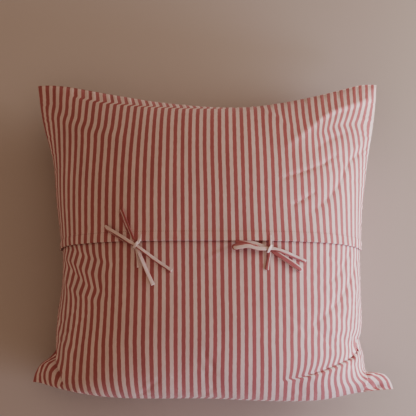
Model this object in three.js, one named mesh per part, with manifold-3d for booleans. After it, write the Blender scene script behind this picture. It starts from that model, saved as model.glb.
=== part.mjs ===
// A filled square cushion in a striped cover, lying on its front with the tied closure up.
// Millimetres. +X runs across the stripes, +Y to the cushion's top edge, +Z up.
// The origin is on the surface the cushion lies on, below the middle of its box.

import * as THREE from "three";
import Module from "manifold-3d";
import { mergeVertices } from "three/addons/utils/BufferGeometryUtils.js";

const wasm = await Module();
wasm.setup();

// Driving sizes of the cover and its filling
const COVER = 650;
const HALF = COVER / 2;
const CROWN_Z = 202;
const SIDE_SEAM_Z = 89;
const TOP_SEAM_Z = 108;
const TOP_EAR_Z = 44;
const BOTTOM_EAR_Z = 38;
const FLAT_CLOTH_REACH = 320;
const HEM_Y = -20;
const HEM_SAG = 6;
const BOX_MIDDLE = [6.9, 8.9];

// How squarely the filling fills the cover, as powers
const SIDE_ROUND = 2.8;
const TOP_ROUND = 2.6;
const BOTTOM_ROUND = 3.6;
const EAR_ROUND = 1.7;
const WALL_POWER = 5;
const SEAM_PULL_POWER = 6;
const REST_PRESS = 1.5;

// How fast the folds ease in from the seams, which hold the cloth still
const FOLD_EASE = 3;
const FOLD_AT_SEAM = 0.06;
const FOLD_FADE_POWER = 3;

// Cloth, seams and gaps
const CLOTH = 1.5;
const HEM_THICK = 2.4;
const GAP = 0.3;
const TUCK = 96;

// Facets
const CELLS = 36;
const EDGE_BIAS = 0.25;
const UNDER_RINGS = [0.95, 0.87, 0.77, 0.67, 0.58];
const RIBBON_STEPS = 2;
const FOLD_LINE_STEPS = 12;
const SLOPE_STEP = 0.012;

// The ties: flat strips of the cover's own cloth
const TIE_WIDE = 9;
const TIE_THICK = 1.5;
const ROOT_WIDE = 6;

// Plain colours of the cloth, from the photo
const FRONT_COLOUR = 0xb9716a;
const UPPER_COLOUR = 0xc2827a;
const LOWER_COLOUR = 0xc98f86;
const TIE_COLOUR = 0xe3c9bf;

// The side seams, by how far up the cover they are, from -1 at the bottom to 1 at the top
const SIDE_SEAMS = [
  { at: -1.0, leftX: -308, leftY: -245, rightX: 327, rightY: -258 },
  { at: -0.93, leftX: -303, leftY: -229, rightX: 319, rightY: -241 },
  { at: -0.87, leftX: -293, leftY: -214, rightX: 307, rightY: -232 },
  { at: -0.8, leftX: -278, leftY: -204, rightX: 290, rightY: -230 },
  { at: -0.73, leftX: -267, leftY: -190, rightX: 277, rightY: -225 },
  { at: -0.62, leftX: -265, leftY: -166, rightX: 273, rightY: -196 },
  { at: -0.46, leftX: -261, leftY: -125, rightX: 268, rightY: -150 },
  { at: -0.27, leftX: -254, leftY: -79, rightX: 266, rightY: -98 },
  { at: 0.0, leftX: -254, leftY: -20, rightX: 266, rightY: -20 },
  { at: 0.25, leftX: -265, leftY: 62, rightX: 272, rightY: 62 },
  { at: 0.49, leftX: -275, leftY: 138, rightX: 284, rightY: 138 },
  { at: 0.76, leftX: -299, leftY: 222, rightX: 301, rightY: 224 },
  { at: 1.0, leftX: -313, leftY: 298, rightX: 311, rightY: 300 },
];

// The bottom and top seams, by how far across the cover they are, from -1 at the left to 1
const END_SEAMS = [
  { at: -1.0, bottomY: -245, topY: 298 },
  { at: -0.9, bottomY: -259, topY: 293 },
  { at: -0.79, bottomY: -266, topY: 286 },
  { at: -0.63, bottomY: -271, topY: 274 },
  { at: -0.48, bottomY: -274, topY: 263 },
  { at: -0.26, bottomY: -275, topY: 248 },
  { at: 0.0, bottomY: -275, topY: 237 },
  { at: 0.22, bottomY: -279, topY: 238 },
  { at: 0.43, bottomY: -281, topY: 251 },
  { at: 0.62, bottomY: -279, topY: 266 },
  { at: 0.79, bottomY: -268, topY: 281 },
  { at: 0.9, bottomY: -264, topY: 293 },
  { at: 1.0, bottomY: -258, topY: 300 },
];

// The main folds, as lines on the flat cover from its middle, with their width, the height
// they rise (below zero they sink) and how far they pull the stripes to the right
const FOLDS = [
  { name: "left shoulder", from: [-330, 288], bend: [-262, 240], to: [-50, 276],
    width: 33, height: 7, pull: -8 },
  { name: "right shoulder", from: [335, 296], bend: [268, 272], to: [120, 170],
    width: 22, height: 11, pull: 9 },
  { name: "below right shoulder", from: [330, 258], bend: [262, 226], to: [150, 140],
    width: 22, height: -6, pull: -5 },
  { name: "right crossing", from: [262, 150], bend: [240, 118], to: [205, 78],
    width: 14, height: -5, pull: 3 },
  { name: "right below hem", from: [292, -8], bend: [248, -70], to: [198, -128],
    width: 15, height: -7, pull: -4 },
  { name: "lower right fold", from: [330, -158], bend: [276, -216], to: [140, -256],
    width: 17, height: -15, pull: -13 },
  { name: "lower right shelf", from: [322, -200], bend: [262, -250], to: [150, -280],
    width: 20, height: 9, pull: 6 },
  { name: "lower left pocket", from: [-332, -216], bend: [-286, -244], to: [-264, -292],
    width: 15, height: -16, pull: 7 },
  { name: "lower right pocket", from: [332, -236], bend: [300, -262], to: [284, -318],
    width: 13, height: -12, pull: -5 },
  { name: "left gather one", from: [-322, -4], bend: [-262, -16], to: [-180, -54],
    width: 15, height: 5, pull: 7 },
  { name: "left gather two", from: [-322, -22], bend: [-268, -46], to: [-196, -112],
    width: 12, height: -5, pull: -7 },
  { name: "left gather three", from: [-322, -62], bend: [-276, -84], to: [-206, -150],
    width: 13, height: 4, pull: 6 },
  { name: "left gather four", from: [-322, -108], bend: [-286, -128], to: [-232, -176],
    width: 13, height: -4, pull: -5 },
];

// The ties' routes on the flat cover, with the height of the strip's middle above the filling.
// A tie's band runs from its free end, through the knot, out to its loop's end and back.
// Its root runs from where it is sewn on to the knot.
const TIES = [
  {
    name: "left_tie_over",
    band: [
      { u: -63, v: -52, up: 2.9 }, { u: -90, v: -33, up: 3.2 }, { u: -104, v: -22.5, up: 6.2 },
      { u: -114, v: -15, up: 7.9 }, { u: -124, v: -8, up: 8.1 }, { u: -134, v: -2, up: 8.9 },
      { u: -146, v: 5.5, up: 8.4 }, { u: -162, v: 15.5, up: 7.9 }, { u: -176, v: 24, up: 7.7 },
      { u: -179.3, v: 26.2, up: 6.65 }, { u: -176, v: 24, up: 5.6 },
      { u: -162, v: 15.5, up: 5.6 }, { u: -149, v: 7.5, up: 5.6 },
    ],
    root: [
      { u: -117, v: 12, up: 5.6 }, { u: -117.5, v: 5, up: 5.8 },
      { u: -119, v: -1, up: 7.6 }, { u: -121, v: -6, up: 8.1 },
    ],
  },
  {
    name: "left_tie_under",
    band: [
      { u: -94, v: -75, up: 2.9 }, { u: -104, v: -53, up: 2.9 }, { u: -113, v: -32, up: 4.0 },
      { u: -119, v: -19, up: 5.4 }, { u: -124, v: -8, up: 5.6 }, { u: -127.5, v: 0.5, up: 6.0 },
      { u: -131.5, v: 9, up: 7.2 }, { u: -138, v: 25, up: 7.7 }, { u: -149.5, v: 51.5, up: 7.7 },
      { u: -151, v: 55, up: 6.65 }, { u: -149.5, v: 51.5, up: 5.6 },
      { u: -138, v: 25, up: 5.6 }, { u: -134, v: 16, up: 5.6 },
    ],
    root: [
      { u: -120, v: -46, up: 2.9 }, { u: -121, v: -30, up: 2.9 },
      { u: -122.5, v: -18, up: 3.6 }, { u: -123.5, v: -10, up: 5.4 },
    ],
  },
  {
    name: "right_tie_over",
    band: [
      { u: 167, v: -34, up: 2.9 }, { u: 151, v: -29.5, up: 4.2 }, { u: 136, v: -24.8, up: 6.9 },
      { u: 118, v: -19, up: 7.7 }, { u: 104, v: -15, up: 8.1 }, { u: 94, v: -13.5, up: 9.3 },
      { u: 75, v: -12, up: 9.7 }, { u: 50, v: -11, up: 9.7 },
      { u: 46.3, v: -11, up: 8.6 }, { u: 50, v: -11, up: 7.5 },
      { u: 75, v: -12, up: 7.5 }, { u: 88, v: -13, up: 7.5 },
    ],
    root: [
      { u: 103, v: 9, up: 5.6 }, { u: 103, v: 2, up: 5.8 },
      { u: 103.5, v: -6, up: 7.6 }, { u: 104, v: -12, up: 8.1 },
    ],
  },
  {
    name: "right_tie_under",
    band: [
      { u: 47, v: -5, up: 5.6 }, { u: 70, v: -9, up: 5.6 }, { u: 92, v: -13, up: 5.6 },
      { u: 104, v: -15, up: 5.6 }, { u: 112, v: -20.4, up: 5.6 }, { u: 122, v: -27, up: 5.0 },
      { u: 138, v: -38, up: 5.0 }, { u: 153, v: -48, up: 5.0 },
      { u: 156, v: -50, up: 3.95 }, { u: 153, v: -48, up: 2.9 },
      { u: 138, v: -38, up: 2.9 }, { u: 124, v: -28.5, up: 2.9 },
    ],
    root: [
      { u: 102, v: -49, up: 2.9 }, { u: 102.5, v: -36, up: 2.9 },
      { u: 103.3, v: -25, up: 3.7 }, { u: 104, v: -18, up: 5.3 },
    ],
  },
];

const clamp = (value, low, high) => Math.min(high, Math.max(low, value));
const mix = (a, b, share) => a + (b - a) * share;

// A smooth curve through one column of a table, read at a place along its rows
function readTable(rows, column, place) {
  const last = rows.length - 1;
  let row = 0;
  while (row < last - 1 && place > rows[row + 1].at) row += 1;
  const slope = (index) => {
    const before = rows[Math.max(0, index - 1)];
    const after = rows[Math.min(last, index + 1)];
    return (after[column] - before[column]) / (after.at - before.at);
  };
  const [a, b] = [rows[row], rows[row + 1]];
  const run = b.at - a.at;
  const u = (place - a.at) / run;
  return (
    a[column] * (1 + 2 * u) * (1 - u) ** 2 +
    slope(row) * run * u * (1 - u) ** 2 +
    b[column] * u * u * (3 - 2 * u) +
    slope(row + 1) * run * u * u * (u - 1)
  );
}

// How near a place on the flat cover is to a fold's line: 1 on the line, 0 away from it
function nearFold(fold, u, v) {
  let best = Infinity;
  let along = 0;
  const at = (k) => {
    const a = (1 - k) ** 2;
    const b = 2 * k * (1 - k);
    return [0, 1].map((i) => a * fold.from[i] + b * fold.bend[i] + k * k * fold.to[i]);
  };
  let start = at(0);
  for (let step = 1; step <= FOLD_LINE_STEPS; step += 1) {
    const end = at(step / FOLD_LINE_STEPS);
    const [dx, dy] = [end[0] - start[0], end[1] - start[1]];
    const raw = ((u - start[0]) * dx + (v - start[1]) * dy) / (dx * dx + dy * dy);
    const k = clamp(raw, 0, 1);
    const far = Math.hypot(u - start[0] - k * dx, v - start[1] - k * dy);
    if (far < best) {
      best = far;
      along = (step - 1 + k) / FOLD_LINE_STEPS;
    }
    start = end;
  }
  return Math.exp(-((best / fold.width) ** 2)) * (1 - along ** FOLD_FADE_POWER);
}

// The seams' level, away from the corners and at a place on the cover
const seamMiddle = (t) => (t > 0 ? mix(SIDE_SEAM_Z, TOP_SEAM_Z, t * t) : SIDE_SEAM_Z);

function seamLevel(s, t) {
  const ear = t > 0 ? TOP_EAR_Z : BOTTOM_EAR_Z;
  return mix(seamMiddle(t), ear, Math.abs(s * t) ** EAR_ROUND);
}

// How much of the filling's full height is under a place on the cover, from 0 to 1
function filling(s, t) {
  const endRound = t > 0 ? TOP_ROUND : BOTTOM_ROUND;
  return (1 - Math.abs(s) ** SIDE_ROUND) * (1 - Math.abs(t) ** endRound);
}

// Where a place on the flat cover lies in plan: s across and t up, each from -1 to 1
function plan(s, t) {
  const left = readTable(SIDE_SEAMS, "leftX", t);
  const right = readTable(SIDE_SEAMS, "rightX", t);
  const halfWide = (right - left) / 2;
  const bunchX = FLAT_CLOTH_REACH / halfWide - 1;
  const x = ((left + right) / 2) * s * s +
    halfWide * ((1 + bunchX) * s - bunchX * s * Math.abs(s) ** (WALL_POWER - 1));
  const hem = HEM_Y - HEM_SAG * (1 - s * s);
  const end = readTable(END_SEAMS, t < 0 ? "bottomY" : "topY", s);
  const reach = Math.abs(end - hem);
  const bunchY = Math.max(0, FLAT_CLOTH_REACH / reach - 1);
  const up = Math.abs(t);
  const inner = hem + Math.sign(t) * reach * ((1 + bunchY) * up - bunchY * up ** WALL_POWER);
  const outer = readTable(SIDE_SEAMS, s < 0 ? "leftY" : "rightY", t);
  return [x, mix(inner, outer, s ** SEAM_PULL_POWER)];
}

// The closure side of the filling, with its folds, and its outward direction
function closureSide(s, t) {
  const [flatX, y] = plan(s, t);
  const fill = filling(s, t);
  const ease = clamp(FOLD_EASE * fill + FOLD_AT_SEAM, 0, 1);
  let x = flatX;
  let z = seamLevel(s, t) + (CROWN_Z - seamMiddle(t)) * fill;
  for (const fold of FOLDS) {
    const near = nearFold(fold, s * HALF, t * HALF) * ease;
    x += fold.pull * near;
    z += fold.height * near;
  }
  return new THREE.Vector3(x - BOX_MIDDLE[0], y - BOX_MIDDLE[1], z);
}

function outward(s, t) {
  const [s0, s1] = [Math.max(-1, s - SLOPE_STEP), Math.min(1, s + SLOPE_STEP)];
  const [t0, t1] = [Math.max(-1, t - SLOPE_STEP), Math.min(1, t + SLOPE_STEP)];
  const across = closureSide(s1, t).sub(closureSide(s0, t));
  const upward = closureSide(s, t1).sub(closureSide(s, t0));
  return across.cross(upward).normalize();
}

const overClosure = (s, t, lift) =>
  closureSide(s, t).addScaledVector(outward(s, t), lift);

// The front panel below the filling, pressed flat where it rests
function frontSide(s, t) {
  const [x, y] = plan(s, t);
  const z = seamLevel(s, t) * Math.max(0, 1 - REST_PRESS * filling(s, t));
  return new THREE.Vector3(x - BOX_MIDDLE[0], y - BOX_MIDDLE[1], z);
}

// Grid lines on the cover, closer together towards its seams
const LINES = Array.from({ length: CELLS + 1 }, (_, i) => {
  const w = (2 * i) / CELLS - 1;
  return w * (1 + EDGE_BIAS - EDGE_BIAS * w * w);
});
const HEM_LINE = CELLS / 2;
const TUCK_LINE = LINES.findIndex((line) => line * HALF >= TUCK);

function closedMesh(points, faces) {
  const geometry = new THREE.BufferGeometry();
  const flat = points.flatMap((point) => [point.x, point.y, point.z]);
  geometry.setAttribute("position", new THREE.Float32BufferAttribute(flat, 3));
  geometry.setIndex(faces.flat());
  return geometry;
}

// Both triangles of a four-cornered face, its corners given anticlockwise from outside
const quad = (a, b, c, d) => [a, b, c, a, c, d];

// The filled body: the closure side's grid, then rings below it down to the flat rest
function filledBody() {
  const points = [];
  const faces = [];
  const index = (i, j) => i * (CELLS + 1) + j;
  for (const s of LINES) {
    for (const t of LINES) points.push(closureSide(s, t));
  }
  for (let i = 0; i < CELLS; i += 1) {
    for (let j = 0; j < CELLS; j += 1) {
      faces.push(quad(index(i, j), index(i + 1, j), index(i + 1, j + 1), index(i, j + 1)));
    }
  }
  const rim = [];
  for (let k = 0; k < CELLS; k += 1) rim.push([k, 0]);
  for (let k = 0; k < CELLS; k += 1) rim.push([CELLS, k]);
  for (let k = CELLS; k > 0; k -= 1) rim.push([k, CELLS]);
  for (let k = CELLS; k > 0; k -= 1) rim.push([0, k]);
  let outer = rim.map(([i, j]) => index(i, j));
  for (const scale of UNDER_RINGS) {
    const inner = rim.map(([i, j]) => {
      points.push(frontSide(scale * LINES[i], scale * LINES[j]));
      return points.length - 1;
    });
    inner.forEach((_, k) => {
      const next = (k + 1) % rim.length;
      faces.push(quad(outer[next], outer[k], inner[k], inner[next]));
    });
    outer = inner;
  }
  points.push(frontSide(0, 0));
  const centre = points.length - 1;
  outer.forEach((_, k) => faces.push([outer[(k + 1) % rim.length], outer[k], centre]));
  return closedMesh(points, faces);
}

// A panel of the cover between two grid lines, lying over the filling
function panel(firstLine, lastLine, lift, thick) {
  const points = [];
  const faces = [];
  const rows = lastLine - firstLine;
  const index = (side, i, j) => (i * (rows + 1) + j) * 2 + side;
  for (const s of LINES) {
    for (let j = firstLine; j <= lastLine; j += 1) {
      const t = LINES[j];
      points.push(overClosure(s, t, lift(j)), overClosure(s, t, lift(j) + thick(j)));
    }
  }
  for (let i = 0; i < CELLS; i += 1) {
    for (let j = 0; j < rows; j += 1) {
      for (const side of [0, 1]) {
        const corners = [index(side, i, j), index(side, i + 1, j),
          index(side, i + 1, j + 1), index(side, i, j + 1)];
        if (side === 0) corners.splice(1, 3, corners[3], corners[2], corners[1]);
        faces.push(quad(...corners));
      }
    }
    faces.push(quad(index(0, i, 0), index(0, i + 1, 0), index(1, i + 1, 0), index(1, i, 0)));
    faces.push(quad(index(1, i, rows), index(1, i + 1, rows),
      index(0, i + 1, rows), index(0, i, rows)));
  }
  for (let j = 0; j < rows; j += 1) {
    faces.push(quad(index(1, 0, j), index(1, 0, j + 1), index(0, 0, j + 1), index(0, 0, j)));
    faces.push(quad(index(0, CELLS, j), index(0, CELLS, j + 1),
      index(1, CELLS, j + 1), index(1, CELLS, j)));
  }
  return closedMesh(points, faces);
}

// A flat strip along a route over the cloth, turning back on itself at a loop's end
function ribbon(route, wide) {
  const stops = route.map(({ u, v, up }) => overClosure(u / HALF, v / HALF, up));
  const curve = new THREE.CatmullRomCurve3(stops, false, "centripetal");
  const steps = (route.length - 1) * RIBBON_STEPS;
  const start = route[0];
  const side = outward(start.u / HALF, start.v / HALF).cross(curve.getTangent(0));
  const points = [];
  const faces = [];
  for (let step = 0; step <= steps; step += 1) {
    const middle = curve.getPoint(step / steps);
    const ahead = curve.getTangent(step / steps);
    side.addScaledVector(ahead, -side.dot(ahead)).normalize();
    const over = ahead.clone().cross(side);
    for (const [across, up] of [[-1, -1], [1, -1], [1, 1], [-1, 1]]) {
      points.push(middle.clone()
        .addScaledVector(side, (across * wide) / 2)
        .addScaledVector(over, (up * TIE_THICK) / 2));
    }
    if (step === 0) continue;
    const [last, here] = [4 * (step - 1), 4 * step];
    for (let corner = 0; corner < 4; corner += 1) {
      const next = (corner + 1) % 4;
      faces.push(quad(last + corner, last + next, here + next, here + corner));
    }
  }
  const end = 4 * steps;
  faces.push(quad(0, 3, 2, 1), quad(end, end + 1, end + 2, end + 3));
  return closedMesh(points, faces);
}

function solid(geometry) {
  const merged = mergeVertices(geometry);
  return new wasm.Manifold(new wasm.Mesh({
    numProp: 3,
    vertProperties: new Float32Array(merged.attributes.position.array),
    triVerts: new Uint32Array(merged.index.array),
  }));
}

function geometryOf(manifold) {
  const mesh = manifold.getMesh();
  const geometry = new THREE.BufferGeometry();
  geometry.setAttribute("position", new THREE.BufferAttribute(mesh.vertProperties, 3));
  geometry.setIndex(new THREE.BufferAttribute(mesh.triVerts, 1));
  return geometry;
}

const tie = ({ band, root }) =>
  geometryOf(solid(ribbon(band, TIE_WIDE)).add(solid(ribbon(root, ROOT_WIDE))));

function cloth(colour) {
  return new THREE.MeshStandardMaterial({ color: colour, roughness: 0.9, metalness: 0 });
}

function named(name, geometry, colour) {
  const mesh = new THREE.Mesh(geometry, cloth(colour));
  mesh.name = name;
  return mesh;
}

// The lower panel is tucked under the upper one, whose free edge is hemmed
const lowerPanel = panel(0, TUCK_LINE, () => GAP, () => CLOTH);
const upperPanel = panel(
  HEM_LINE,
  CELLS,
  (line) => (line <= TUCK_LINE ? GAP + CLOTH + GAP : GAP),
  (line) => (line <= HEM_LINE + 1 ? HEM_THICK : CLOTH),
);

const sham = new THREE.Group();
sham.add(named("cushion", filledBody(), FRONT_COLOUR));
sham.add(named("lower_back_panel", lowerPanel, LOWER_COLOUR));
sham.add(named("upper_back_panel", upperPanel, UPPER_COLOUR));
for (const each of TIES) sham.add(named(each.name, tie(each), TIE_COLOUR));

export default sham;
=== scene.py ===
"""The looks of a filled square cushion in a striped cotton cover, lying with its tied closure up.

The frame is in metres: +X runs across the stripes, +Y to the cushion's top edge and +Z up.
The tables and the form are in millimetres, and MM turns them into metres.
A place on the cover is (s, t), each from -1 to 1, or (u, v) in millimetres from its middle.
"""

import math
from typing import NamedTuple

import bpy
import numpy as np
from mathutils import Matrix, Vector


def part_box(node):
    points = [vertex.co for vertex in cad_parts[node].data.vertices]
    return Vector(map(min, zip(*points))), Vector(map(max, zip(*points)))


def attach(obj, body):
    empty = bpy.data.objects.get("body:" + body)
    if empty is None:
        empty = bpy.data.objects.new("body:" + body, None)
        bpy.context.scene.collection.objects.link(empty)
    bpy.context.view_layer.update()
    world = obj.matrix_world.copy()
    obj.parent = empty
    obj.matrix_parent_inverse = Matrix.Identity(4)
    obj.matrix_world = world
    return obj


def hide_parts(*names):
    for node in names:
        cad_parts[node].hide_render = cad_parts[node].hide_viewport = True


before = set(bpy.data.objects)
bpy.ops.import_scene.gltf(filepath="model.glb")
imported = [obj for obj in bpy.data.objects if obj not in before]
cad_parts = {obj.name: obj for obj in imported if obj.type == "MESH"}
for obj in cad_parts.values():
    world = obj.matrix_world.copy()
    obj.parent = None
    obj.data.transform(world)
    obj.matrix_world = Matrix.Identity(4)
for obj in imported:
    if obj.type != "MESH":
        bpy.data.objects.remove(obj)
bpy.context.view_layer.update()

MM = 0.001

# Driving sizes of the cover and its filling
COVER = 650.0
HALF = COVER / 2
CROWN_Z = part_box("cushion")[1].z / MM
SIDE_SEAM_Z = 89.0
TOP_SEAM_Z = 108.0
TOP_EAR_Z = 44.0
BOTTOM_EAR_Z = 38.0
FLAT_CLOTH_REACH = 320.0
HEM_Y = -20.0
HEM_SAG = 6.0
BOX_MIDDLE = np.array([6.9, 8.9, 0.0])

# How squarely the filling fills the cover, as powers
SIDE_ROUND = 2.8
TOP_ROUND = 2.6
BOTTOM_ROUND = 3.6
EAR_ROUND = 1.7
WALL_POWER = 5
SEAM_PULL_POWER = 6
REST_PRESS = 1.5
SLIP_POWER = 16
SLIP_SQUEEZE = 0.2
FRONT_DRAWN_WIDE = 25

# How fast the folds ease in from the seams, which hold the cloth still
FOLD_EASE = 22.0
FOLD_FADE_POWER = 3
FOLD_ENDS_POWER = 0.7

# Cloth, seams and gaps
CLOTH = 1.4
HEM_THICK = 2.3
HEM_DEEP = 19.0
GAP = 0.3
TUCK = 111.0
SEAM_DITCH = 1.5
SEAM_DITCH_WIDE = 5.0

# Meshes
SLOPE_STEP = 0.006
SIM_CELLS = 100
SIM_FRAMES = 10
PANEL_CELLS = 256
PANEL_ROWS = 256
SKIN_CELLS = 160
SIDE_LINES = 0.6

# How the cloth simulation is held, and how much of it is kept
CUT_SCALE = 0.985
HOLD_CLOTH = 0.1
HOLD_SEAM = 0.9
HOLD_WIDE = 8.0
HOLD_STIFF = 0.3
REST_TOUCH = 0.01
CLOTH_QUALITY = 5
CLOTH_MASS = 0.2
CLOTH_STRETCH = 20
CLOTH_SHEAR = 3
CLOTH_BEND = 0.6
CLOTH_PRESSURE = 8
FORM_CELLS = 5
WRINKLE_SHARE = 0.5
WRINKLE_CAP = 3.0
WRINKLE_LEAST = 0.01

# Stripes
STRIPE_PITCH = 13.0

# The hem, its lift off the panel below and its stitching
HEM_LIFT = 2.0
HEM_LIFT_DEEP = 14.0
HEM_ROUND = 1.2
HEM_ROUND_SHARE = 0.8
HEM_STEP_WIDE = 1
HEM_ROWS = (0, 0.3, 0.7, 1.2, 2, 3.5)
CLOTH_ROWS_FROM = 5
HEM_SEAM_V = 17.0
HEM_SEAM_DIP = 0.6
HEM_SEAM_WIDE = 2.2
TUCK_EASE = 70.0

# Ties
TIE_THICK = 1.6
TIE_SIDES = 16
TIE_STEP = 1.5
TIE_EDGE_POWER = 0.45
TIE_FACE_POWER = 0.7
TIE_SEAM_AT = 0.5
TIE_SEAM_WIDE = 0.3
TIE_SEAM_DIP = 0.3
TIE_END_ROUND = 0.6
TIE_END_LEAST = 0.1

# The colours and gloss of the cotton and the floor
CREAM = (0.74, 0.66, 0.635)
RED = (0.47, 0.205, 0.21)
COTTON_ROUGH = 0.88
COTTON_GLOSS = 0.25
COTTON_SHEEN = 0.2
SHEEN_ROUGH = 0.5
FLOOR_COLOUR = (0.54, 0.52, 0.48)
FLOOR_ROUGH = 0.85

# Its stripes' edges, its threads and how unevenly it is dyed
STRIPE_SOFT = 0.25
STRIPE_RAGGED = 0.35
RAGGED_SCALE = (900, 90)
YARN_SCALE = (1400, 60)
YARN_SHADE = 0.07
FADE_SCALE = (40, 12)
FADE_SHADE = 0.04
SHADE_LEVELS = (0.3, 0.7)
WEAVE_PITCH = 1.1
WEAVE_HEIGHT = 0.05
SLUB_SCALE = (700, 70)
SLUB_LEVELS = (0.55, 0.8)
SLUB_HEIGHT = 0.12
BUMP_STRENGTH = 0.6

# The hem's stitches, and the painted shade in the gaps between them
STITCH_WIDE = 0.7
STITCH_LONG = 3.2
STITCH_HEIGHT = 0.25
STITCH_LEVELS = (-0.8, -0.4)
# How dark the painted shade in the gaps between the stitches is, as a share of the cloth's colour
STITCH_GAP_PAINTED_SHADE = 0.55

# The ripples beside the outer seams, where their stitches draw the cloth in
PUCKER = 0.9
PUCKER_WIDE = 11
PUCKER_LEAN = 8
PUCKER_LIFT = 0.6
PUCKER_CORNER_POWER = 8
PUCKER_WAVES = ((9.5, 0.3), (13.1, 1.9), (21.7, 4.4))


def columns(names, rows):
    """A table as a dict of its named columns."""
    return dict(zip(names, np.array(rows, float).T))


# The side seams, by how far up the cover they are
SIDE_SEAMS = columns(
    ("at", "left_x", "left_y", "right_x", "right_y"),
    [
        (-1.00, -308, -245, 327, -258),
        (-0.93, -303, -229, 319, -241),
        (-0.87, -293, -214, 307, -232),
        (-0.80, -278, -204, 286, -230),
        (-0.73, -267, -190, 274, -225),
        (-0.62, -265, -166, 270, -197),
        (-0.54, -263, -146, 263, -173),
        (-0.46, -261, -125, 268, -150),
        (-0.27, -254, -79, 266, -98),
        (0.00, -254, -20, 266, -20),
        (0.25, -265, 62, 272, 62),
        (0.49, -275, 138, 284, 138),
        (0.76, -299, 222, 301, 224),
        (1.00, -313, 298, 311, 300),
    ],
)

# The bottom and top seams, by how far across the cover they are
END_SEAMS = columns(
    ("at", "bottom_y", "top_y"),
    [
        (-1.00, -245, 298),
        (-0.90, -259, 293),
        (-0.79, -266, 286),
        (-0.63, -271, 274),
        (-0.48, -274, 263),
        (-0.26, -275, 248),
        (0.00, -275, 237),
        (0.22, -279, 238),
        (0.43, -281, 251),
        (0.62, -279, 266),
        (0.79, -268, 281),
        (0.90, -264, 293),
        (1.00, -258, 300),
    ],
)


class Fold(NamedTuple):
    """A fold's line over the filling, its reach to each side, and how it moves the cloth there.

    The cloth rises, and slips to the right over the filling. What is turned has the opposite sign
    on the right-hand side of the line: a step up, a slip to the right, and a tuck over the line.
    The cloth on the right-hand side can also lie under that on the left.
    """

    name: str
    line: tuple
    width: float
    rise: float = 0.0
    slip: float = 0.0
    step: float = 0.0
    shear: float = 0.0
    tuck: float = 0.0
    under: float = 0.0
    ease: float = FOLD_EASE
    edge: float = 3.0
    from_seam: bool = True


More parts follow.
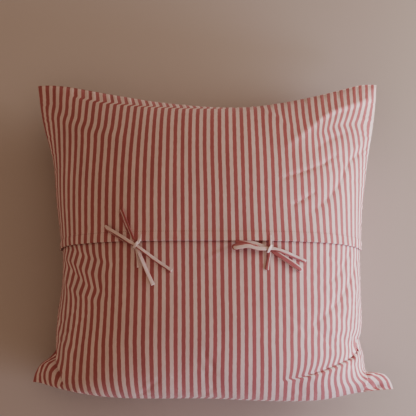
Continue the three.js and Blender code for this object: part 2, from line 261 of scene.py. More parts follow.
FOLDS = [
    Fold("top seam drag", ((-262, 300), (-200, 288), (-130, 284), (-50, 286), (40, 298)), 34,
         slip=5, shear=5, edge=2, from_seam=False),
    Fold("top seam ridge", ((-260, 290), (-140, 286), (-50, 288), (50, 300)), 6, rise=2.2,
         from_seam=False),
    Fold("left shoulder", ((-330, 290), (-295, 267), (-255, 241), (-205, 216), (-140, 205)), 17,
         rise=4, slip=-2, shear=4, edge=12),
    Fold("right shoulder", ((335, 296), (289, 278), (256, 269), (232, 261), (209, 244),
                            (191, 226), (169, 204), (130, 168)), 18,
         rise=8, slip=4, step=-3, edge=5),
    Fold("right shoulder dip", ((335, 226), (280, 236), (249, 231), (222, 220), (190, 196)), 14,
         rise=-3, slip=-9, edge=6),
    Fold("right shoulder drag", ((92, 292), (120, 255), (150, 212)), 9, rise=1.5, slip=2,
         from_seam=False),
    Fold("right crossing", ((330, 206), (265, 161), (248, 136), (240, 114), (214, 83),
                            (190, 62), (160, 40)), 8, rise=-5, slip=-4, edge=2),
    Fold("right crossing ridge", ((330, 226), (270, 180), (250, 150), (210, 112)), 12, rise=2,
         slip=3),
    Fold("right upper dip", ((268, 222), (221, 199), (185, 170)), 8, rise=-3, from_seam=False),
    Fold("right thin crease", ((216, 150), (192, 140), (163, 126), (143, 119), (118, 108)), 4,
         rise=-2.6, edge=1, from_seam=False),
    Fold("right short crease", ((236, 168), (212, 152), (196, 136)), 4, rise=-2, edge=1,
         from_seam=False),
    Fold("right lower crease", ((192, 94), (168, 78), (140, 62)), 4, rise=-2.4, edge=1,
         from_seam=False),
    Fold("right below hem", ((310, 0), (283, -35), (256, -72), (232, -100), (206, -123),
                             (185, -140), (160, -158)), 8, rise=-6, slip=-5, edge=2),
    Fold("right below hem inner", ((275, 4), (251, -30), (241, -48), (216, -66), (190, -80)), 7,
         rise=-4, slip=-3, edge=2),
    Fold("right below hem ridge", ((330, -40), (296, -66), (268, -100), (240, -128)), 12, rise=4,
         slip=5),
    Fold("lower right fold", ((332, -158), (300, -172), (295, -190), (270, -207), (235, -218),
                              (199, -230), (167, -241), (122, -252)), 17,
         rise=-6, slip=-4, step=6, shear=16, tuck=4, edge=3),
    Fold("lower right shelf", ((332, -206), (286, -214), (245, -233), (200, -248), (155, -256)),
         12, rise=5),
    Fold("lower right hollow", ((304, -190), (292, -195), (280, -200)), 7, rise=-12, edge=2,
         from_seam=False),
    Fold("lower right inner hollow", ((280, -199), (268, -205), (254, -210)), 7, rise=-11,
         edge=2, from_seam=False),
    Fold("lower right branch", ((332, -176), (312, -189), (300, -195)), 5, rise=-6, edge=1),
    Fold("lower right ear", ((262, -345), (285, -293), (313, -251), (336, -234), (380, -200)), 12,
         step=9, under=20, ease=6),
    Fold("lower right ear crease", ((332, -258), (311, -276), (290, -294)), 4, rise=5, slip=4,
         ease=6, edge=1),
    Fold("lower right ear hollow", ((306, -300), (300, -312), (296, -322)), 6, rise=-8, ease=6,
         edge=1, from_seam=False),
    Fold("lower left ear", ((-350, -205), (-334, -226), (-309, -250), (-284, -266), (-262, -300)),
         13, rise=1, step=11, under=26, ease=6),
    Fold("left gather", ((-332, 2), (-265, -8), (-235, -23), (-206, -30), (-160, -44)), 9,
         rise=3, slip=8),
    Fold("left gather dip", ((-332, -10), (-285, -22), (-259, -29), (-227, -47), (-185, -62)), 9,
         rise=-3.5, slip=-8),
    Fold("left second gather", ((-332, -18), (-311, -30), (-276, -44), (-227, -74), (-172, -96)),
         10, rise=3.5, slip=9),
    Fold("left second dip", ((-332, -34), (-304, -52), (-277, -77), (-234, -90), (-182, -107)),
         10, rise=-3.5, slip=-8),
    Fold("left low gather", ((-332, -142), (-290, -165), (-240, -190)), 10, rise=2.5, slip=4),
    Fold("left low dip", ((-332, -164), (-290, -188), (-245, -212)), 10, rise=-2.5, slip=-4),
    Fold("middle crease", ((-4, -30), (18, -20), (41, -9)), 3, rise=1, edge=1, from_seam=False),
]

# Where the hem gapes off the panel below: its middle and width across the cover, and how much
HEM_GAPES = [
    (-128, 16, 1.2),
    (66, 18, 1.6),
    (100, 10, 1.0),
    (-300, 22, 1.0),
]

# The ties' strips: a row for each place along them, with u, v and the height over the filling,
# then the width, the roll in degrees and where the stripe's edge is across the strip
TIES = {
    "left_tie_over": [
        [
            (-62, -52.5, 3.4, 7.6, 6, 8.0),
            (-68, -48, 3.6, 6.4, 4, 8.0),
            (-88, -34.5, 4.6, 6.4, 0, 8.0),
            (-104, -22.5, 6.6, 6.2, -4, 8.0),
            (-114, -15, 7.9, 6.0, -6, 8.0),
            (-124, -8, 8.4, 5.6, 0, 8.2),
            (-134, -2, 9.2, 6.0, 6, 8.4),
            (-146, 6, 9.4, 6.2, 10, 8.6),
            (-162, 16, 9.0, 6.2, 8, 8.6),
            (-175, 24.4, 8.4, 6.2, 6, 9.2),
            (-180, 26.8, 7.2, 6.2, 8, 7.0),
            (-178, 22, 5.9, 6.2, 10, 3.4),
            (-163, 11.5, 5.6, 6.4, 8, 3.2),
            (-149, 2.5, 5.6, 6.4, 6, 3.2),
            (-137, -3.5, 5.9, 6.0, 4, 3.2),
        ],
        [
            (-116, 12, 5.2, 6.0, 0, -3.0),
            (-117, 5, 6.0, 5.6, 4, -3.0),
            (-118.5, -1, 8.0, 5.2, 10, -3.0),
            (-121, -6, 8.4, 4.8, 10, -3.0),
        ],
        [
            (-127.5, -12.5, 5.6, 4.4, 0, 8.5),
            (-127.0, -11.5, 8.0, 4.6, 4, 8.5),
            (-124.5, -8.5, 9.9, 5.0, 8, 8.7),
            (-121.5, -4.5, 9.7, 4.8, 4, 9.0),
            (-119.5, -2.0, 7.6, 4.4, 0, 9.2),
            (-119.5, -2.0, 5.2, 4.2, 0, 9.2),
        ],
    ],
    "left_tie_under": [
        [
            (-93.5, -76, 3.4, 7.0, -8, -3.2),
            (-96, -71, 3.6, 6.8, -10, -3.2),
            (-104, -53, 3.6, 7.0, -14, -3.0),
            (-113, -32, 4.6, 6.8, -20, -2.8),
            (-119, -19, 5.6, 5.6, -10, -2.6),
            (-124, -8, 5.7, 5.4, 0, -1.0),
            (-127.5, 0.5, 6.4, 5.6, 14, 0.8),
            (-131, 10, 7.8, 5.4, 24, 1.1),
            (-137, 25, 8.4, 5.2, 26, 1.1),
            (-147.5, 51, 8.2, 5.4, 20, 1.1),
            (-150, 56.5, 7.0, 5.4, 12, 2.0),
            (-152.5, 52, 5.2, 5.4, 10, 3.0),
            (-143.5, 27, 5.2, 5.4, 14, 3.0),
            (-137.5, 13, 5.6, 5.0, 14, 3.0),
        ],
        [
            (-120, -46, 2.9, 4.6, -14, -3.2),
            (-121, -30, 3.4, 4.0, -40, -3.2),
            (-122.5, -18, 4.4, 4.0, -30, -3.2),
            (-123.5, -10, 5.6, 4.4, 0, -3.2),
        ],
    ],
    "right_tie_over": [
        [
            (167, -34.5, 3.6, 6.0, 16, 6.5),
            (160, -31.5, 3.9, 6.4, 18, 6.6),
            (148, -27, 4.6, 6.6, 16, 6.8),
            (136, -22.5, 6.6, 6.8, 12, 6.8),
            (122, -17.5, 8.0, 6.6, 6, 7.2),
            (112, -14.5, 8.3, 5.6, 0, 8.6),
            (104, -14, 8.5, 5.4, 0, 9.6),
            (94, -14.5, 9.4, 6.4, -6, 9.75),
            (84, -14.2, 9.8, 7.4, -8, 9.75),
            (68, -10.5, 9.9, 7.2, -6, 9.75),
            (54, -12, 9.8, 7.0, -4, 9.75),
            (46, -13.8, 9.4, 6.6, -10, 9.0),
            (43.2, -10.5, 8.0, 6.4, -18, 6.0),
            (48, -7.5, 7.0, 6.4, -10, 3.4),
            (66, -6.5, 7.2, 6.4, 0, 3.2),
            (84, -9.5, 7.6, 6.0, 0, 3.2),
        ],
        [
            (105, 11, 5.2, 6.0, 0, 0.0),
            (105, 3, 6.2, 6.0, 0, 0.0),
            (104.5, -5, 8.0, 5.4, 0, 0.0),
            (104, -12, 8.6, 5.0, 0, 0.0),
        ],
        [
            (101.5, -20.5, 5.2, 4.2, 0, -3.0),
            (101.5, -19.5, 8.2, 4.4, 0, -3.0),
            (103.0, -15.5, 10.2, 5.0, 0, -2.6),
            (105.5, -11.0, 10.0, 4.8, 0, -2.4),
            (107.0, -8.0, 8.0, 4.4, 0, -2.4),
            (107.0, -8.0, 5.2, 4.2, 0, -2.4),
        ],
    ],
    "right_tie_under": [
        [
            (46, -2.5, 4.9, 6.8, 4, 3.0),
            (52, -2.0, 5.2, 6.6, 6, 2.6),
            (72, -2.6, 5.2, 6.4, 8, -2.0),
            (88, -7.5, 5.4, 6.0, 10, -2.8),
            (104, -14.5, 5.7, 5.6, 0, 0.5),
            (113, -20.5, 6.4, 7.0, -6, 2.6),
            (123, -26.5, 6.6, 8.0, -8, 2.6),
            (138, -36, 6.2, 8.6, -8, 2.6),
            (152, -45.5, 5.6, 8.8, -6, 2.6),
            (157.5, -49.5, 4.4, 8.6, -6, 2.0),
            (153, -49, 3.2, 8.4, -4, -2.0),
            (138, -39.5, 3.2, 8.0, -4, -3.2),
            (124, -30, 3.4, 7.4, -4, -3.2),
        ],
        [
            (99.5, -50, 2.9, 6.6, 0, 5.0),
            (101, -37, 3.4, 5.8, 6, 5.0),
            (103, -26, 4.4, 5.2, 6, 5.0),
            (104, -18, 5.6, 5.0, 0, 5.0),
        ],
    ],
}

# How far the cloth is drawn to the right over the filling, in millimetres: a row for each
# level from the bottom seam to the top one, a column for each place from left to right
DRAWN_RIGHT = np.array(
    [
        (0, -8, 2, 5, 10, 11, 13, 13, 8),
        (-44, -20, -2, 6, 8, 11, 12, 12, 18),
        (-28, -7, -1, 6, 9, 10, 9, 5, 5),
        (-20, -3, 1, 6, 8, 9, 7, 6, 10),
        (-20, -7, 1, 5, 7, 8, 7, 6, 9),
        (-22, -7, 1, 4, 6, 6, 5, 5, 10),
        (-20, -5, 2, 4, 4, 5, 3, -1, 3),
        (0, 5, 8, 5, 4, 4, 0, -4, -6),
        (6, 10, 11, 8, 5, 4, 1, -1, -1),
    ],
    float,
)


def curve_weights(k):
    """The weights of four neighbours in a smooth curve, k of the way between the middle two."""
    return [
        (-k + 2 * k**2 - k**3) / 2,
        (2 - 5 * k**2 + 3 * k**3) / 2,
        (k + 4 * k**2 - 3 * k**3) / 2,
        (k**3 - k**2) / 2,
    ]


def grid_weights(place, cells):
    """The four nearest lines of an even grid, and their weights in a smooth curve through it."""
    at = (np.clip(place, -1, 1) + 1) / 2 * cells
    cell = np.clip(np.floor(at).astype(int), 0, cells - 1)
    lines = [np.clip(cell + step, 0, cells) for step in (-1, 0, 1, 2)]
    return list(zip(lines, curve_weights(at - cell)))


def sample(grid, s, t):
    """A grid of values over the cover, read smoothly at places on it. Its first axis goes with s."""
    across = grid_weights(s, grid.shape[0] - 1)
    upward = grid_weights(t, grid.shape[1] - 1)
    value = 0
    for i, weight_i in across:
        for j, weight_j in upward:
            weight = weight_i * weight_j
            value = value + grid[i, j] * weight.reshape(weight.shape + (1,) * (grid.ndim - 2))
    return value


def read_table(table, column, place):
    """A smooth curve through one column of a table, read at places along its rows."""
    at, value = table["at"], table[column]
    slope = np.empty_like(value)
    slope[1:-1] = (value[2:] - value[:-2]) / (at[2:] - at[:-2])
    slope[0] = (value[1] - value[0]) / (at[1] - at[0])
    slope[-1] = (value[-1] - value[-2]) / (at[-1] - at[-2])
    row = np.clip(np.searchsorted(at, place) - 1, 0, len(at) - 2)
    run = at[row + 1] - at[row]
    k = (place - at[row]) / run
    return (
        value[row] * (1 + 2 * k) * (1 - k) ** 2
        + slope[row] * run * k * (1 - k) ** 2
        + value[row + 1] * k * k * (3 - 2 * k)
        + slope[row + 1] * run * k * k * (k - 1)
    )


def near_fold(fold, u, v):
    """How strongly a fold moves places on the cover, how far they are to the left of its line,
    and the line's normal there, as its two parts."""
    points = np.array(fold.line, float)
    lengths = np.hypot(*np.diff(points, axis=0).T)
    starts = np.concatenate([[0], np.cumsum(lengths)])
    best = np.full(u.shape, np.inf)
    along, left, normal_u, normal_v = (np.zeros(u.shape) for _ in range(4))
    for a, b, length, start in zip(points, points[1:], lengths, starts):
        d = (b - a) / length
        k = np.clip((u - a[0]) * d[0] + (v - a[1]) * d[1], 0, length)
        far = np.hypot(u - a[0] - k * d[0], v - a[1] - k * d[1])
        side = (v - a[1]) * d[0] - (u - a[0]) * d[1]
        nearer = far < best
        best = np.where(nearer, far, best)
        along = np.where(nearer, (start + k) / starts[-1], along)
        left = np.where(nearer, side, left)
        normal_u = np.where(nearer, -d[1], normal_u)
        normal_v = np.where(nearer, d[0], normal_v)
    soft = np.hypot(best, fold.edge) - fold.edge
    if fold.from_seam:
        fade = 1 - along**FOLD_FADE_POWER
    else:
        fade = (4 * along * (1 - along)) ** FOLD_ENDS_POWER
    return np.exp(-soft / fold.width) * fade, left, normal_u, normal_v


def mix(a, b, share):
    """A value between two others."""
    return a + (b - a) * share


def seam_middle(t):
    """How high the outer seam lies halfway across the cover."""
    return np.where(t > 0, mix(SIDE_SEAM_Z, TOP_SEAM_Z, t * t), SIDE_SEAM_Z)


def seam_level(s, t):
    """How high the outer seams would hold a place, which falls towards the ears."""
    ear = np.where(t > 0, TOP_EAR_Z, BOTTOM_EAR_Z)
    return mix(seam_middle(t), ear, np.abs(s * t) ** EAR_ROUND)


def from_seam(s, t):
    """How far places on the cover are from its nearest outer seam."""
    return HALF * (1 - np.maximum(np.abs(s), np.abs(t)))


def filling(s, t):
    """How much of the filling's full height is under a place on the cover, from 0 to 1."""
    end_round = np.where(t > 0, TOP_ROUND, BOTTOM_ROUND)
    return (1 - np.abs(s) ** SIDE_ROUND) * (1 - np.abs(t) ** end_round)


def plan(s, t):
    """Where places on the flat cover lie, seen from above."""
    left = read_table(SIDE_SEAMS, "left_x", t)
    right = read_table(SIDE_SEAMS, "right_x", t)
    half_wide = (right - left) / 2
    bunch_x = FLAT_CLOTH_REACH / half_wide - 1
    wall = s * np.abs(s) ** (WALL_POWER - 1)
    x = (left + right) / 2 * s * s + half_wide * ((1 + bunch_x) * s - bunch_x * wall)
    hem = HEM_Y - HEM_SAG * (1 - s * s)
    bottom, top = (read_table(END_SEAMS, column, s) for column in ("bottom_y", "top_y"))
    reach = np.abs(np.where(t < 0, bottom, top) - hem)
    bunch_y = np.maximum(0, FLAT_CLOTH_REACH / reach - 1)
    up = np.abs(t)
    inner = hem + np.sign(t) * reach * ((1 + bunch_y) * up - bunch_y * up**WALL_POWER)
    sides = [read_table(SIDE_SEAMS, column, t) for column in ("left_y", "right_y")]
    outer = np.where(s < 0, *sides)
    return x, mix(inner, outer, np.abs(s) ** SEAM_PULL_POWER)


def slid(s, t):
    """Where on the filling a place across the cover is, once the cloth is drawn and folded."""
    on = s + sample(DRAWN_RIGHT.T, s, t) / HALF * (1 - np.abs(s) ** SLIP_POWER)
    drawn = 0
    for fold in FOLDS:
        if fold.slip or fold.shear:
            strength, left, _, _ = near_fold(fold, on * HALF, t * HALF)
            drawn = drawn + strength * (fold.slip + fold.shear * np.tanh(left / fold.edge))
    on = on + drawn / HALF * (1 - np.abs(on) ** SLIP_POWER)
    return np.clip(on, SLIP_SQUEEZE * (1 + s) - 1, 1 - SLIP_SQUEEZE * (1 - s))


def on_filling(s, t):
    """A place on the closure side of the filling, with its folds."""
    x, y = plan(s, t)
    z = seam_level(s, t) + (CROWN_Z - seam_middle(t)) * filling(s, t)
    for fold in FOLDS:
        if fold.rise or fold.step or fold.tuck or fold.under:
            strength, left, normal_u, normal_v = near_fold(fold, s * HALF, t * HALF)
            turned = np.tanh(left / fold.edge)
            strength = strength * np.minimum(1, from_seam(s, t) / fold.ease)
            z = z + strength * (fold.rise + fold.step * turned)
            x = x - strength * fold.tuck * turned * normal_u
            y = y - strength * fold.tuck * turned * normal_v
            x = x + strength * fold.under * (1 - turned) / 2 * np.sign(normal_u)
    return np.stack([x, y, z], -1) - BOX_MIDDLE


def closure_form(s, t):
    """The closure side of the cover: its cloth where it has slid to on the filling."""
    return on_filling(slid(s, t), t)


def front_form(s, t):
    """The front panel below the filling, pressed flat where it rests."""
    s = s + (slid(s, t) - s) * np.exp(-from_seam(s, t) / FRONT_DRAWN_WIDE)
    x, y = plan(s, t)
    z = seam_level(s, t) * np.maximum(0, 1 - REST_PRESS * filling(s, t))
    return np.stack([x, y, z], -1) - BOX_MIDDLE


def grid_of(s_lines, t_lines):
    """The places where two sets of lines over the cover cross."""
    return np.meshgrid(s_lines, t_lines, indexing="ij")


def grid_faces(index):
    """Four-cornered faces between the points of a grid of indices, anticlockwise from outside."""
    corners = index[:-1, :-1], index[1:, :-1], index[1:, 1:], index[:-1, 1:]
    return np.stack([c.ravel() for c in corners], -1)


def blurred(grid, cells):
    """A grid smoothed over a number of cells, its edges held out by their own values."""
    steps = np.arange(-3 * cells, 3 * cells + 1)
    bell = np.exp(-((steps / cells) ** 2) / 2)
    bell /= bell.sum()
    for axis in (0, 1):
        count = grid.shape[axis]
        grid = sum(
            weight * np.take(grid, np.clip(np.arange(count) + step, 0, count - 1), axis)
            for step, weight in zip(steps, bell)
        )
    return grid


def two_sided(s, t, closure, front):
    """Points and faces of the closed skin, whose two sides share their outer seam's points."""
    index = np.arange(s.size).reshape(s.shape)
    inside = np.zeros(s.shape, bool)
    inside[1:-1, 1:-1] = True
    below = index.copy()
    below[inside] = s.size + np.arange(inside.sum())
    faces = np.concatenate([grid_faces(index), grid_faces(below)[:, ::-1]])
    points = np.concatenate([closure.reshape(-1, 3), front[inside]])
    return points, faces, inside, below


def add_cloth(thing, cut, hold):
    """Cloth that is blown up from inside, its rest lengths those of a flat shape."""
    modifier = thing.modifiers.new("cloth", "CLOTH")
    modifier.collision_settings.use_collision = False
    modifier.point_cache.frame_end = SIM_FRAMES
    settings = modifier.settings
    settings.quality = CLOTH_QUALITY
    settings.mass = CLOTH_MASS
    settings.tension_stiffness = CLOTH_STRETCH
    settings.compression_stiffness = CLOTH_STRETCH
    settings.shear_stiffness = CLOTH_SHEAR
    settings.bending_stiffness = CLOTH_BEND
    settings.vertex_group_mass = hold.name
    settings.pin_stiffness = HOLD_STIFF
    settings.rest_shape_key = cut
    settings.use_pressure = True
    settings.uniform_pressure_force = CLOTH_PRESSURE
    settings.effector_weights.gravity = 0


def simulated(s, t, closure, front):
    """The skin after Blender's cloth has filled it out, its rest lengths those of the flat cut."""
    points, faces, inside, below = two_sided(s, t, closure, front)
    mesh = bpy.data.meshes.new("cloth")
    mesh.from_pydata((points * MM).tolist(), [], faces.tolist())
    cloth = bpy.data.objects.new("cloth", mesh)
    scene = bpy.context.scene
    scene.collection.objects.link(cloth)
    cloth.shape_key_add(name="filled")
    cut = cloth.shape_key_add(name="cut")
    cut.value = 0
    place = np.concatenate(
        [np.stack([s.ravel(), t.ravel()], -1), np.stack([s[inside], t[inside]], -1)]
    )
    flat = np.concatenate([place * HALF * CUT_SCALE, np.zeros((len(place), 1))], 1)
    cut.data.foreach_set("co", (flat * MM).astype(np.float32).ravel())
    hold = cloth.vertex_groups.new(name="hold")
    seam = np.exp(-((from_seam(place[:, 0], place[:, 1]) / HOLD_WIDE) ** 2))
    held = np.maximum(HOLD_CLOTH, HOLD_SEAM * seam)
    held[points[:, 2] <= REST_TOUCH] = 1
    held = np.round(held, 2)
    for weight in np.unique(held):
        hold.add(np.flatnonzero(held == weight).tolist(), float(weight), "REPLACE")
    add_cloth(cloth, cut, hold)
    for number in range(1, SIM_FRAMES + 1):
        scene.frame_set(number)
    final = cloth.evaluated_get(bpy.context.evaluated_depsgraph_get()).data
    moved = np.zeros(len(points) * 3, np.float32)
    final.vertices.foreach_get("co", moved)
    moved = moved.reshape(-1, 3) / MM
    scene.frame_set(1)
    bpy.data.objects.remove(cloth)
    bpy.data.meshes.remove(mesh)
    return moved[: s.size].reshape(closure.shape), moved[below]


def wrinkles():
    """What the simulation adds to both sides: its fine part, so that the form itself is kept."""
    lines = np.linspace(-1, 1, SIM_CELLS + 1)
    s, t = grid_of(lines, lines)
    start = closure_form(s, t), front_form(s, t)
    found = []
    for side, moved in zip(start, simulated(s, t, *start)):
        change = moved - side
        fine = change - blurred(change, FORM_CELLS)
        size = np.linalg.norm(fine, axis=-1, keepdims=True)
        capped = np.minimum(1, WRINKLE_CAP / np.maximum(size, WRINKLE_LEAST))
        found.append(fine * WRINKLE_SHARE * capped)
    return found


def outward(form, s, t):
    """The unit normals of a form at places on the cover."""
    low_s, high_s = (np.clip(s + step, -1, 1) for step in (-SLOPE_STEP, SLOPE_STEP))
    low_t, high_t = (np.clip(t + step, -1, 1) for step in (-SLOPE_STEP, SLOPE_STEP))
    across = form(high_s, t) - form(low_s, t)
    upward = form(s, high_t) - form(s, low_t)
    normal = np.cross(across, upward)
    return normal / np.linalg.norm(normal, axis=-1, keepdims=True)


def ditch(s, t):
    """How far the cloth dips into the seam: 1 at the seam, 0 away from it."""
    return np.exp(-((from_seam(s, t) / SEAM_DITCH_WIDE) ** 2))


def striped_place(s, t):
    """UV coordinates on the flat cut, in metres."""
    return np.stack([s * HALF, t * HALF], -1) * MM


def mesh_object(name, points, faces, uvs, material):
    """A smooth mesh of points in millimetres, with a UV pair for each face corner."""
    mesh = bpy.data.meshes.new(name)
    mesh.from_pydata((np.asarray(points) * MM).tolist(), [], [list(f) for f in faces])
    layer = mesh.uv_layers.new(name="cut")
    layer.data.foreach_set("uv", np.asarray(uvs, np.float32).ravel())
    mesh.shade_smooth()
    mesh.materials.append(material)
    mesh.update()
    made = bpy.data.objects.new(name, mesh)
    bpy.context.scene.collection.objects.link(made)
    return made


def side_lines(count):
    """Lines across the cover, closer together towards its sides, where it folds most."""
    even = np.linspace(-1, 1, count + 1)
    return SIDE_LINES * even + (1 - SIDE_LINES) * np.sin(even * math.pi / 2)


def panel_mesh(name, t_lines, lift, thick, material):
    """A sheet of the cover between two lines up it, lying over the filling."""
    s, t = grid_of(side_lines(PANEL_CELLS), t_lines)
    base, normal = closure_side(s, t), outward(closure_side, s, t)
    under = lift(s, t)
    over = under + thick(s, t) - SEAM_DITCH * ditch(s, t)
    low = base + normal * under[..., None]
    high = base + normal * np.maximum(over, under + GAP)[..., None]
    count = s.size
    index = np.arange(count).reshape(s.shape)
    rims = []
    for edge, turned in ((index[:, 0], False), (index[:, -1], True),
                         (index[0, :], True), (index[-1, :], False)):
        band = np.stack([edge, edge + count], -1)
        rims.append(grid_faces(band if turned else band[::-1]))
    faces = np.concatenate([grid_faces(index + count), grid_faces(index)[:, ::-1], *rims])
    place = striped_place(s, t).reshape(-1, 2)
    uvs = np.concatenate([place, place])[faces.ravel()]
    points = np.concatenate([low.reshape(-1, 3), high.reshape(-1, 3)])
    return mesh_object(name, points, faces, uvs, material)


def near(value, middle, wide):
    """A soft bump: 1 in its middle, 0 away from it."""
    return np.exp(-(((value - middle) / wide) ** 2))


def smooth_step(value, low, high):
    """A soft step: 0 up to a low value, 1 from a high one."""
    share = np.clip((value - low) / (high - low), 0, 1)
    return share * share * (3 - 2 * share)


def upper_lift(s, t):
    """How high the upper back panel's underside is above the filling."""
    u, v = s * HALF, t * HALF
    over_tuck = (GAP + CLOTH) * (1 - smooth_step(v, TUCK, TUCK + TUCK_EASE))
    gape = HEM_LIFT
    for middle, wide, high in HEM_GAPES:
        gape = gape + high * near(u, middle, wide)
    return GAP + over_tuck + gape * np.exp(-v / HEM_LIFT_DEEP) * (1 - np.abs(s) ** SLIP_POWER)


def upper_thick(s, t):
    """The upper back panel's thickness: its rounded hem, its stitched line and the cloth."""
    v = t * HALF
    thick = mix(HEM_THICK, CLOTH, smooth_step(v, HEM_DEEP - HEM_STEP_WIDE, HEM_DEEP + HEM_STEP_WIDE))
    rounded = np.clip(1 - v / HEM_ROUND, 0, 1)
    thick = thick * np.sqrt(1 - HEM_ROUND_SHARE * rounded**2)
    return thick - HEM_SEAM_DIP * near(v, HEM_SEAM_V, HEM_SEAM_WIDE)


def smooth_rows(rows, step):
    """A smooth curve through rows of numbers, whose first two are millimetres on the cover."""
    rows = np.array(rows, float)
    run = np.hypot(*np.diff(rows[:, :2], axis=0).T) + np.abs(np.diff(rows[:, 2]))
    padded = np.concatenate([2 * rows[:1] - rows[1:2], rows, 2 * rows[-1:] - rows[-2:-1]])
    found = []
    for i, length in enumerate(run):
        count = max(2, math.ceil(length / step))
        for k in np.arange(count) / count:
            pairs = zip(curve_weights(k), padded[i : i + 4])
            found.append(sum(weight * row for weight, row in pairs))
    found.append(rows[-1])
    return np.array(found)


def tie_section():
    """A folded tie's section, from -1 to 1 across and up."""
    turns = np.arange(TIE_SIDES) * 2 * math.pi / TIE_SIDES
    across = np.sign(np.cos(turns)) * np.abs(np.cos(turns)) ** TIE_EDGE_POWER
    up = np.sign(np.sin(turns)) * np.abs(np.sin(turns)) ** TIE_FACE_POWER
    up = up * (1 - TIE_SEAM_DIP * near(across, TIE_SEAM_AT, TIE_SEAM_WIDE))
    return across, up


def strand(rows):
    """Points, faces and UVs of one folded strip along rows of (u, v, up, wide, roll, stripe)."""
    u, v, up, wide, roll, stripe = smooth_rows(rows, TIE_STEP).T
    s, t = u / HALF, v / HALF
    middle = on_filling(s, t) + outward(on_filling, s, t) * up[:, None]
    ahead = np.gradient(middle, axis=0)
    ahead /= np.linalg.norm(ahead, axis=1, keepdims=True)
    side = np.cross(ahead[0], outward(on_filling, s[:1], t[:1])[0])
    section_x, section_z = tie_section()
    count = len(u)
    along = np.concatenate([[0], np.cumsum(np.linalg.norm(np.diff(middle, axis=0), axis=1))])
    from_end = np.minimum(along, along[-1] - along)
    end_round = np.sqrt(np.clip(from_end / TIE_END_ROUND, TIE_END_LEAST, 1))
    rings, uvs = [], []
    for i in range(count):
        side = side - (side @ ahead[i]) * ahead[i]
        side /= np.linalg.norm(side)
        face = np.cross(side, ahead[i])
        turn = math.radians(roll[i])
        across = side * math.cos(turn) + face * math.sin(turn)
        through = face * math.cos(turn) - side * math.sin(turn)
        thick = TIE_THICK / 2 * end_round[i]
        rings.append(middle[i] + np.outer(section_x, across) * wide[i] / 2
                     + np.outer(section_z, through) * thick)
        uvs.append(np.stack([stripe[i] + section_x * wide[i] / 2,
                             np.full(TIE_SIDES, along[i])], -1))
    points = np.concatenate(rings)
    index = np.arange(count * TIE_SIDES).reshape(count, TIE_SIDES)
    wrapped = np.concatenate([index, index[:, :1]], axis=1)
    faces = [list(face) for face in grid_faces(wrapped)]
    faces += [list(index[0]), list(index[-1][::-1])]
    places = np.concatenate(uvs) * MM
    return points, faces, places


def tie(name, strands, material):
    """A tie: its long strip, the strip from where it is sewn on, and its part of the knot."""
    points, faces, uvs, start = [], [], [], 0
    for rows in strands:
        strand_points, strand_faces, places = strand(rows)
        points.append(strand_points)
        faces += [[i + start for i in face] for face in strand_faces]
        for face in strand_faces:
            uvs.append(places[face])
        start += len(strand_points)
    return mesh_object(name, np.concatenate(points), faces, np.concatenate(uvs), material)


def plain(name, colour, roughness):
    """A material of one colour."""
    material = bpy.data.materials.new(name)
    material.use_nodes = True
    shader = material.node_tree.nodes["Principled BSDF"]
    shader.inputs["Base Color"].default_value = (*colour, 1)
    shader.inputs["Roughness"].default_value = roughness
    return material


def maths(nodes, links, operation, a, b=None):
    """A maths node over sockets or plain numbers, as its output."""
    node = nodes.new("ShaderNodeMath")
    node.operation = operation
    for socket, value in zip(node.inputs, (a, b)):
        if isinstance(value, (int, float)):
            socket.default_value = value
        elif value is not None:
            links.new(value, socket)
    return node.outputs[0]


def ramp(nodes, links, value, low, high, to_low=0, to_high=1, smooth=True):
    """A value between two levels, spread between two others."""
    node = nodes.new("ShaderNodeMapRange")
    node.interpolation_type = "SMOOTHSTEP" if smooth else "LINEAR"
    for socket, level in zip(("From Min", "From Max", "To Min", "To Max"),
                             (low, high, to_low, to_high)):
        node.inputs[socket].default_value = level
    links.new(value, node.inputs[0])
    return node.outputs[0]


def noise(nodes, links, place, scale):
    """Noise over a place on the cut, finer across the threads than along them."""
    mapping = nodes.new("ShaderNodeMapping")
    mapping.inputs["Scale"].default_value = (*scale, 1)
    links.new(place, mapping.inputs["Vector"])
    node = nodes.new("ShaderNodeTexNoise")
    node.inputs["Scale"].default_value = 1
    links.new(mapping.outputs[0], node.inputs["Vector"])
    return node.outputs["Fac"]


def stripes(nodes, links, place, across):
    """The stripes' colour, with slightly ragged edges."""
    turn = maths(nodes, links, "MULTIPLY", across, 2 * math.pi / (STRIPE_PITCH * MM))
    wave = maths(nodes, links, "SINE", turn)
    ragged = noise(nodes, links, place, RAGGED_SCALE)
    ragged = ramp(nodes, links, ragged, 0, 1, -STRIPE_RAGGED, STRIPE_RAGGED, smooth=False)
    wave = maths(nodes, links, "ADD", wave, ragged)
    colour = nodes.new("ShaderNodeMix")
    colour.data_type = "RGBA"
    colour.inputs["A"].default_value = (*CREAM, 1)
    colour.inputs["B"].default_value = (*RED, 1)
    links.new(ramp(nodes, links, wave, -STRIPE_SOFT, STRIPE_SOFT), colour.inputs["Factor"])
    return colour.outputs["Result"]


def uneven(nodes, links, place, scale, share):
    """How much lighter or darker the cloth is from place to place."""
    found = noise(nodes, links, place, scale)
    return ramp(nodes, links, found, *SHADE_LEVELS, 1 - share, 1 + share, smooth=False)


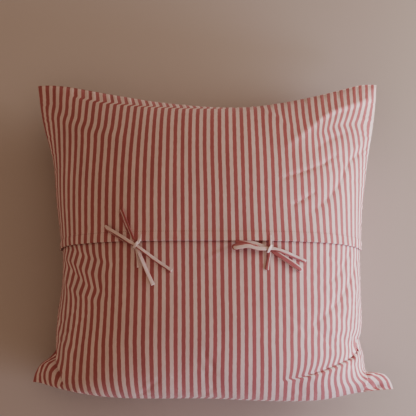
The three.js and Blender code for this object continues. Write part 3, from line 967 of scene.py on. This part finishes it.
def weave(nodes, links, place, across, along):
    """How high the cloth's threads and their thick places stand."""
    turn = 2 * math.pi / (WEAVE_PITCH * MM)
    warp = maths(nodes, links, "SINE", maths(nodes, links, "MULTIPLY", across, turn))
    weft = maths(nodes, links, "SINE", maths(nodes, links, "MULTIPLY", along, turn))
    height = maths(nodes, links, "MULTIPLY", warp, weft)
    height = maths(nodes, links, "MULTIPLY", height, WEAVE_HEIGHT * MM)
    found = noise(nodes, links, place, SLUB_SCALE)
    slub = ramp(nodes, links, found, *SLUB_LEVELS, 0, SLUB_HEIGHT * MM)
    return maths(nodes, links, "ADD", height, slub)


def stitches(nodes, links, across, along):
    """The hem's row of stitches: its threads, and the gaps between them, which get painted shade."""
    row = maths(nodes, links, "SUBTRACT", along, HEM_SEAM_V * MM)
    row = maths(nodes, links, "ABSOLUTE", row)
    row = ramp(nodes, links, row, STITCH_WIDE * MM / 2, STITCH_WIDE * MM, 1, 0)
    step = maths(nodes, links, "MULTIPLY", across, 2 * math.pi / (STITCH_LONG * MM))
    thread = ramp(nodes, links, maths(nodes, links, "SINE", step), *STITCH_LEVELS)
    thread = maths(nodes, links, "MULTIPLY", row, thread)
    painted_shade_gap = maths(nodes, links, "SUBTRACT", row, thread)
    return thread, painted_shade_gap


def striped_cotton(name, stitched=False):
    """Woven cotton in even stripes, read from the flat cut's coordinates."""
    material = bpy.data.materials.new(name)
    material.use_nodes = True
    nodes, links = material.node_tree.nodes, material.node_tree.links
    shader = nodes["Principled BSDF"]
    shader.inputs["Roughness"].default_value = COTTON_ROUGH
    shader.inputs["Specular IOR Level"].default_value = COTTON_GLOSS
    shader.inputs["Sheen Weight"].default_value = COTTON_SHEEN
    shader.inputs["Sheen Roughness"].default_value = SHEEN_ROUGH
    cut = nodes.new("ShaderNodeUVMap")
    cut.uv_map = "cut"
    place = cut.outputs[0]
    split = nodes.new("ShaderNodeSeparateXYZ")
    links.new(place, split.inputs[0])
    across, along = split.outputs[0], split.outputs[1]
    colour = stripes(nodes, links, place, across)
    yarn = uneven(nodes, links, place, YARN_SCALE, YARN_SHADE)
    fade = uneven(nodes, links, place, FADE_SCALE, FADE_SHADE)
    shade = maths(nodes, links, "MULTIPLY", yarn, fade)
    height = weave(nodes, links, place, across, along)
    if stitched:
        thread, painted_shade_gap = stitches(nodes, links, across, along)
        raised = maths(nodes, links, "MULTIPLY", thread, STITCH_HEIGHT * MM)
        height = maths(nodes, links, "ADD", height, raised)
        # Painted shade: the cloth is darkened in the gaps between the stitches
        painted_gap_shade = ramp(nodes, links, painted_shade_gap, 0, 1, 1, STITCH_GAP_PAINTED_SHADE)
        shade = maths(nodes, links, "MULTIPLY", shade, painted_gap_shade)
    shaded = nodes.new("ShaderNodeVectorMath")
    shaded.operation = "SCALE"
    links.new(colour, shaded.inputs[0])
    links.new(shade, shaded.inputs["Scale"])
    links.new(shaded.outputs[0], shader.inputs["Base Color"])
    bump = nodes.new("ShaderNodeBump")
    bump.inputs["Distance"].default_value = 1
    bump.inputs["Strength"].default_value = BUMP_STRENGTH
    links.new(height, bump.inputs["Height"])
    links.new(bump.outputs[0], shader.inputs["Normal"])
    return material


def puckers(s, t):
    """How far the cloth stands up in ripples that run in from the outer seams."""
    along = np.where(np.abs(s) > np.abs(t), t, s) * HALF
    waves = sum(np.sin(2 * math.pi * along / pitch + start) for pitch, start in PUCKER_WAVES)
    far = from_seam(s, t)
    fade = far / PUCKER_WIDE * np.exp(1 - far / PUCKER_WIDE)
    corner = 1 - np.minimum(np.abs(s), np.abs(t)) ** PUCKER_CORNER_POWER
    return PUCKER / len(PUCKER_WAVES) * waves * fade * corner


def closure_side(s, t):
    """The closure side as it lies: its form, its wrinkles and the ripples at its seams."""
    side = closure_form(s, t) + sample(CLOSURE_WRINKLES, s, t)
    lean_x, lean_y = (np.sign(place) * np.abs(place) ** PUCKER_LEAN for place in (s, t))
    out = np.stack([lean_x, lean_y, np.full(s.shape, PUCKER_LIFT)], -1)
    out /= np.linalg.norm(out, axis=-1, keepdims=True)
    return side + out * puckers(s, t)[..., None]


def front_side(s, t):
    """The front panel as it lies, never below the surface that it rests on."""
    side = front_form(s, t) + sample(FRONT_WRINKLES, s, t)
    side[..., 2] = np.maximum(side[..., 2], 0)
    return side


def filled_skin(material):
    """The cushion under its back panels: the closure side's lining face and the front panel."""
    lines = np.linspace(-1, 1, SKIN_CELLS + 1)
    s, t = grid_of(lines, lines)
    closure = closure_side(s, t)
    puff = SEAM_DITCH * (1 - ditch(s, t))
    front = front_side(s, t) - outward(front_side, s, t) * puff[..., None]
    front[..., 2] = np.maximum(front[..., 2], 0)
    points, faces, inside, _ = two_sided(s, t, closure, front)
    place = striped_place(s, t)
    place = np.concatenate([place.reshape(-1, 2), place[inside]])
    return mesh_object("filled_cushion", points, faces, place[faces.ravel()], material)


# The floor, the two lamps, the room's light and the camera, in metres and watts
FLOOR_WIDE = 12
LAMP_WIDE = 0.8
LAMP_AIM = Vector((0, 0, 0.1))
LAMPS = (
    ("warm key", Vector((1.5, 0.35, 0.46)), 13, (1.0, 0.89, 0.87)),
    ("cool key", Vector((1.45, -0.9, 0.42)), 16, (0.78, 0.78, 1.0)),
)
ROOM_COLOUR = (1.0, 0.70, 0.55)
ROOM_STRENGTH = 0.36
VIEW_TILT = math.radians(13)
VIEW_AIM = Vector((-0.0069, 0.0461, 0.1))
VIEW_FAR = 2.5
VIEW_FOCUS = 1415 / 416
SENSOR_WIDE = 36


def stage_floor():
    """The plain pale floor under the part."""
    bpy.ops.mesh.primitive_plane_add(size=FLOOR_WIDE)
    floor = bpy.context.object
    floor.name = "floor"
    floor.data.materials.append(plain("pale_floor", FLOOR_COLOUR, FLOOR_ROUGH))


def lamp(name, place, power, colour):
    """A round soft lamp aimed at the part."""
    data = bpy.data.lights.new(name, "AREA")
    data.shape = "DISK"
    data.size = LAMP_WIDE
    data.energy = power
    data.color = colour
    light = bpy.data.objects.new(name, data)
    light.location = place
    light.rotation_euler = (LAMP_AIM - place).to_track_quat("-Z", "Y").to_euler()
    bpy.context.scene.collection.objects.link(light)


def studio():
    """The floor, the lamps and the room's even light."""
    stage_floor()
    for row in LAMPS:
        lamp(*row)
    world = bpy.data.worlds.new("room")
    world.use_nodes = True
    back = world.node_tree.nodes["Background"]
    back.inputs["Color"].default_value = (*ROOM_COLOUR, 1)
    back.inputs["Strength"].default_value = ROOM_STRENGTH
    bpy.context.scene.world = world
    bpy.context.scene.view_settings.view_transform = "AgX"
    bpy.context.scene.view_settings.look = "AgX - High Contrast"


def camera():
    """The camera at the photo's angle to the cushion's face."""
    data = bpy.data.cameras.new("camera")
    data.sensor_width = SENSOR_WIDE
    data.lens = SENSOR_WIDE * VIEW_FOCUS
    made = bpy.data.objects.new("camera", data)
    ahead = Vector((0, math.sin(VIEW_TILT), -math.cos(VIEW_TILT)))
    made.location = VIEW_AIM - ahead * VIEW_FAR
    made.rotation_euler = (VIEW_TILT, 0, 0)
    bpy.context.scene.collection.objects.link(made)
    bpy.context.scene.camera = made


camera()
studio()

CLOSURE_WRINKLES, FRONT_WRINKLES = wrinkles()

cotton = striped_cotton("striped_cotton")
tuck_t = TUCK / HALF
lower_rows = np.linspace(-1, tuck_t, 1 + round(PANEL_ROWS * (1 + tuck_t) / 2))
hem_rows = np.array(HEM_ROWS) / HALF
upper_rows = np.concatenate([hem_rows, np.linspace(CLOTH_ROWS_FROM / HALF, 1, PANEL_ROWS // 2)])

cushion = filled_skin(cotton)
lower = panel_mesh(
    "lower_back_cloth",
    lower_rows,
    lambda s, t: np.full(t.shape, GAP),
    lambda s, t: np.full(t.shape, CLOTH),
    cotton,
)
hemmed_cotton = striped_cotton("striped_cotton_hemmed", stitched=True)
upper = panel_mesh("upper_back_cloth", upper_rows, upper_lift, upper_thick, hemmed_cotton)

for piece, node in (
    (cushion, "cushion"),
    (lower, "lower_back_panel"),
    (upper, "upper_back_panel"),
):
    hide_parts(node)
    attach(piece, "root")

tie_cotton = striped_cotton("tie_cotton")
for node, strands in TIES.items():
    strip = tie(node + "_strip", strands, tie_cotton)
    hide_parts(node)
    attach(strip, "root")
